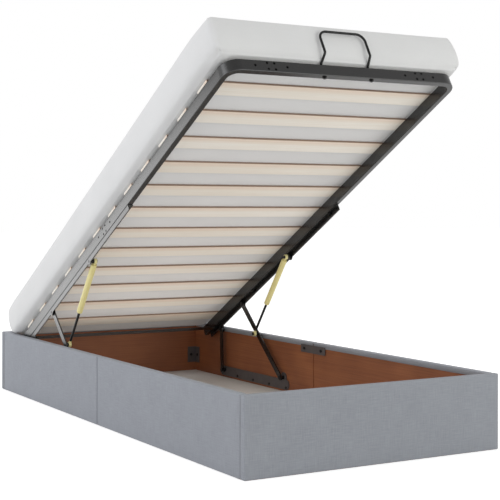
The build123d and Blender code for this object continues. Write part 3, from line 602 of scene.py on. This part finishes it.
# Slats: birch veneers glued and pressed flat, faced with a pale lacquer. A warmer strip runs along
# each slat's foot edge. The long edges show the darker glue lines of the plies over a brown that is
# partly the plies' own colour and partly painted shade, for the shade those narrow faces lie in.
# The platform's foot edge is counted from the lift arms' top pivot, along the platform and off it
platform_tilt = radians(29.74)
arm_top = next(np.array(joint["pos_m"]) for joint in frame["joints"] if joint["name"] == "platform_tilt")
arm_top_along = 1.612
arm_top_below = 0.0145
along = np.array([0, cos(platform_tilt), -sin(platform_tilt)])
upward = np.array([0, sin(platform_tilt), cos(platform_tilt)])
platform_foot = arm_top - along * arm_top_along + upward * arm_top_below
first_slat = 0.124
slat_pitch = 0.15309
slat_width = 0.068
veneer_length = 0.25
veneer_width = 0.003
ply = 0.0016
# A wave texture of scale 1 repeats every 0.314 m
wave_at_scale_one = 0.31416
warm_until = 0.15
pale_from = 0.45
warmth = 0.6
birch = bpy.data.materials.new("lacquered_birch_plywood")
birch.use_nodes = True
tree = birch.node_tree
shader = tree.nodes["Principled BSDF"]
shader.inputs["Roughness"].default_value = 0.5
place = add_node(tree, "TexCoord")
flat = add_node(
    tree, "Mapping", {"Rotation": (platform_tilt, 0, 0)}, {"Vector": place.outputs["Object"]}
)
grain = add_node(
    tree, "Mapping", {"Scale": (1 / veneer_length, 1 / veneer_width, 1 / veneer_width)},
    {"Vector": flat.outputs[0]},
)
grain = add_node(
    tree, "TexNoise", {"Scale": 1, "Detail": 4, "Roughness": 0.6}, {"Vector": grain.outputs[0]}
)
board_tone = add_node(tree, "Mapping", {"Scale": (0.6, 8, 1)}, {"Vector": flat.outputs[0]})
board_tone = add_node(tree, "TexNoise", {"Scale": 1, "Detail": 1}, {"Vector": board_tone.outputs[0]})
figure = add_node(tree, "Math", {"operation": "ADD"}, {0: grain.outputs[0], 1: board_tone.outputs[0]})
figure = add_node(tree, "MapRange", {"From Min": 0.7, "From Max": 1.3}, {"Value": figure.outputs[0]})
face_colour = add_node(
    tree, "Mix", {"data_type": "RGBA", 6: linear("F0E7D9"), 7: linear("FAF5EC")}, {0: figure.outputs[0]}
)
across_slat = add_node(tree, "SeparateXYZ", links={0: flat.outputs[0]})
across_slat = add_node(
    tree, "Math", {"operation": "SUBTRACT", 1: float(platform_foot @ along) + first_slat},
    {0: across_slat.outputs["Y"]},
)
across_slat = add_node(tree, "Math", {"operation": "DIVIDE", 1: slat_pitch}, {0: across_slat.outputs[0]})
across_slat = add_node(tree, "Math", {"operation": "FRACT"}, {0: across_slat.outputs[0]})
warm = add_node(
    tree, "MapRange",
    {"From Min": warm_until * slat_width / slat_pitch, "From Max": pale_from * slat_width / slat_pitch,
     "To Min": warmth, "To Max": 0},
    {"Value": across_slat.outputs[0]},
)
face_colour = add_node(
    tree, "Mix", {"data_type": "RGBA", 7: linear("EDD4BE")},
    {0: warm.outputs["Result"], 6: face_colour.outputs[2]},
)
layers = add_node(
    tree, "TexWave", {"wave_type": "BANDS", "bands_direction": "Z", "Scale": wave_at_scale_one / ply},
    {"Vector": flat.outputs[0]},
)
# Long edges: ply glue lines over a brown that is partly real ply colour and partly painted shade
ply_glue_and_painted_shade_colour = add_node(
    tree, "Mix", {"data_type": "RGBA", 6: linear("7C6352"), 7: linear("9C8370")},
    {0: layers.outputs["Fac"]},
)
facing = add_node(
    tree, "Mapping", {"vector_type": "NORMAL", "Rotation": (platform_tilt, 0, 0)},
    {"Vector": place.outputs["Normal"]},
)
facing = add_node(tree, "SeparateXYZ", links={0: facing.outputs[0]})
facing = add_node(tree, "Math", {"operation": "ABSOLUTE"}, {0: facing.outputs["Y"]})
facing = add_node(tree, "MapRange", {"From Min": 0.5, "From Max": 0.75}, {"Value": facing.outputs[0]})
colour = add_node(
    tree, "Mix", {"data_type": "RGBA"},
    {0: facing.outputs[0], 6: face_colour.outputs[2], 7: ply_glue_and_painted_shade_colour.outputs[2]},
)
tree.links.new(colour.outputs[2], shader.inputs["Base Color"])
bump = add_node(tree, "Bump", {"Strength": 0.08, "Distance": 0.0002}, {"Height": grain.outputs[0]})
tree.links.new(bump.outputs[0], shader.inputs["Normal"])
slat_names = [name for name in frame["nodes"] if name.startswith("slat_") and name != "slat_screws"]
dress(slat_names, birch)

# Mattress: a firm foam block in a fine white knitted cover, with crisp upper edges, a full round
# along the lower ones and sides that swell. It lies on the slats and bulges a little between them.
mattress_low = np.array([-0.45, -0.008, 0.0483])
mattress_high = np.array([0.45, 1.992, 0.1820])
side_lower_round = 0.023
end_lower_round = 0.034
upper_round = 0.006
top_corner_round = 0.008
low_corner_round_at_foot = 0.020
low_corner_round_at_head = 0.046
corner_ends_at = 0.45
end_round_sharpness = 8
side_belly = 0.004
corner_belly = 0.010
corner_sharpness = 6
side_bow = 0.012
bow_sharpness = 4
bow_rise = 0.2
bow_run_at_foot = 0.08
bow_run_at_head = 0.05
counts_as_level = 0.999
mattress_step = 0.02
mattress_middle = (mattress_low + mattress_high) / 2


def on_platform(points):
    """Places in the room of points given across, along from the foot edge, and above the tube."""
    return platform_foot + points @ np.array([[1, 0, 0], along, upward])


def from_platform(points):
    """The same turned back: across, along from the foot edge, and above the tube."""
    return (points - platform_foot) @ np.array([[1, 0, 0], along, upward]).T


def padded_block(points):
    """A box's points rounded as foam in a cover: small rounds at the top, large ones that also open
    the corners at the bottom, sides that swell out as the root of a sine of the height, most at the
    corners, and long edges that bow out between the pinched corners."""
    height = (points[..., 2] - mattress_low[2]) / (mattress_high[2] - mattress_low[2])
    from_foot = (points[..., 1] - mattress_low[1]) / (mattress_high[1] - mattress_low[1])
    opened = np.clip(1 - height / corner_ends_at, 0, 1) ** 2
    low_corner_round = low_corner_round_at_foot * (1 - from_foot) + low_corner_round_at_head * from_foot
    in_plan = top_corner_round + (low_corner_round - top_corner_round) * opened
    share = np.abs(points - mattress_middle) / (mattress_high - mattress_middle)
    at_ends = share[..., 1] ** end_round_sharpness
    lower_round = side_lower_round + (end_lower_round - side_lower_round) * at_ends
    roll = np.stack([in_plan, in_plan, np.where(height < 0.5, lower_round, upper_round)], -1)
    inner = np.clip(points, mattress_low + roll, mattress_high - roll)
    shaped = rounded(points, mattress_low, mattress_high, roll)
    outward = (shaped - inner) * (1, 1, 0)
    length = np.linalg.norm(outward, axis=-1, keepdims=True)
    outward /= np.maximum(length, in_plan[..., None] * counts_as_level)
    swell = side_belly + corner_belly * (share[..., 0] * share[..., 1]) ** corner_sharpness
    swell *= np.sin(pi * np.clip(height, 0, 1)) ** 0.5
    bow = side_bow * (1 - from_foot / 2) * np.sin(pi / 2 * np.clip(height / bow_rise, 0, 1))
    bow *= np.sin(pi / 2 * np.clip(from_foot / bow_run_at_foot, 0, 1))
    bow *= np.sin(pi / 2 * np.clip((1 - from_foot) / bow_run_at_head, 0, 1))
    shaped = shaped + outward * swell[..., None]
    shaped[..., 0] += np.sign(points[..., 0]) * share[..., 0] ** bow_sharpness * bow
    return shaped


lower_turns = 6
side_rows = 8
upper_turns = 4
upright = np.concatenate(
    [
        mattress_low[2] + end_lower_round * (1 - np.tan(np.linspace(pi / 4, 0, lower_turns)))[:-1],
        np.linspace(mattress_low[2] + end_lower_round, mattress_high[2] - upper_round, side_rows),
        mattress_high[2] - upper_round * (1 - np.tan(np.linspace(0, pi / 4, upper_turns)))[1:],
    ]
)
rows = [
    stops(low, high, top_corner_round, mattress_step)
    for low, high in zip(mattress_low[:2], mattress_high[:2])
] + [upright]
patches = []
for flat_axis in range(3):
    for at in (mattress_low[flat_axis], mattress_high[flat_axis]):
        grid = np.stack(np.meshgrid(*[rows[axis] for axis in range(3) if axis != flat_axis]), -1)
        grid = np.insert(grid, flat_axis, at, -1)
        patches.append((on_platform(padded_block(grid)), cloth_lengths(grid, flat_axis)))
mattress = joined_mesh("mattress_body", patches)

# The cover is stretched by the foam's pressure: held along its sewn upper edge, where it lies on a
# slat and along its stiff lower border, free to swell elsewhere, by no more than the cap.
swell_cap = 0.003
sewn_edge = 0.012
stiff_border = 0.060
pressure = 4
settled_frame = 20
rest_points = np.array([vertex.co for vertex in mattress.data.vertices])
placed = from_platform(rest_points)
from_middle = np.abs(placed - mattress_middle)[:, :2]
from_side = np.max(from_middle - (mattress_high - mattress_middle)[:2], axis=1)
at_top = placed[:, 2] > mattress_high[2] - sewn_edge
at_bottom = placed[:, 2] < mattress_low[2] + side_lower_round / 4
held = at_top & (from_side > -sewn_edge)
held |= at_bottom & (from_side > -stiff_border)
for name in slat_names:
    slat_points = np.array([vertex.co for vertex in frame["nodes"][name].data.vertices])
    slat_along = from_platform(slat_points)[:, 1]
    held |= at_bottom & (placed[:, 1] > slat_along.min()) & (placed[:, 1] < slat_along.max())
mattress.vertex_groups.new(name="held").add(np.flatnonzero(held).tolist(), 1, "REPLACE")
cover_cloth = mattress.modifiers.new("cover", "CLOTH")
cover_cloth.settings.vertex_group_mass = "held"
cover_cloth.settings.use_pressure = True
cover_cloth.settings.uniform_pressure_force = pressure
cover_cloth.settings.effector_weights.gravity = 0
cover_cloth.point_cache.frame_end = settled_frame
for step in range(1, settled_frame + 1):
    scene.frame_set(step)
settled = mattress.evaluated_get(bpy.context.evaluated_depsgraph_get()).data
moved = np.array([vertex.co for vertex in settled.vertices]) - rest_points
mattress.modifiers.remove(cover_cloth)
mattress.vertex_groups.clear()
scene.frame_set(1)
size = np.maximum(np.linalg.norm(moved, axis=1, keepdims=True), 1e-9)
moved *= swell_cap * np.tanh(size / swell_cap) / size
mattress.data.vertices.foreach_set("co", (rest_points + moved).astype(np.float32).ravel())
mattress.data.update()
smooth = mattress.modifiers.new("smooth", "SUBSURF")
smooth.levels = 1
smooth.render_levels = 1

knit = bpy.data.materials.new("white_knitted_ticking")
knit.use_nodes = True
tree = knit.node_tree
shader = tree.nodes["Principled BSDF"]
shader.inputs["Roughness"].default_value = 0.9
shader.inputs["Specular IOR Level"].default_value = 0.2
shader.inputs["Sheen Weight"].default_value = 0.1
place = add_node(tree, "TexCoord")
# Real stitches are about 0.8 mm; they are drawn at 2 mm
stitch = 0.002
knitted = add_node(
    tree, "TexNoise", {"Scale": 1 / stitch, "Detail": 2}, {"Vector": place.outputs["Object"]}
)
soft = add_node(tree, "TexNoise", {"Scale": 6, "Detail": 3}, {"Vector": place.outputs["Object"]})
tone = add_node(tree, "Math", {"operation": "ADD"}, {0: knitted.outputs[0], 1: soft.outputs[0]})
tone = add_node(tree, "MapRange", {"From Min": 0.6, "From Max": 1.4}, {"Value": tone.outputs[0]})
colour = add_node(
    tree, "Mix", {"data_type": "RGBA", 6: linear("DFDFDF"), 7: linear("E6E6E6")}, {0: tone.outputs[0]}
)
tree.links.new(colour.outputs[2], shader.inputs["Base Color"])
bump = add_node(tree, "Bump", {"Strength": 0.2, "Distance": 0.0004}, {"Height": knitted.outputs[0]})
tree.links.new(bump.outputs[0], shader.inputs["Normal"])
mattress.data.materials.append(knit)
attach(mattress, "platform")
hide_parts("mattress")
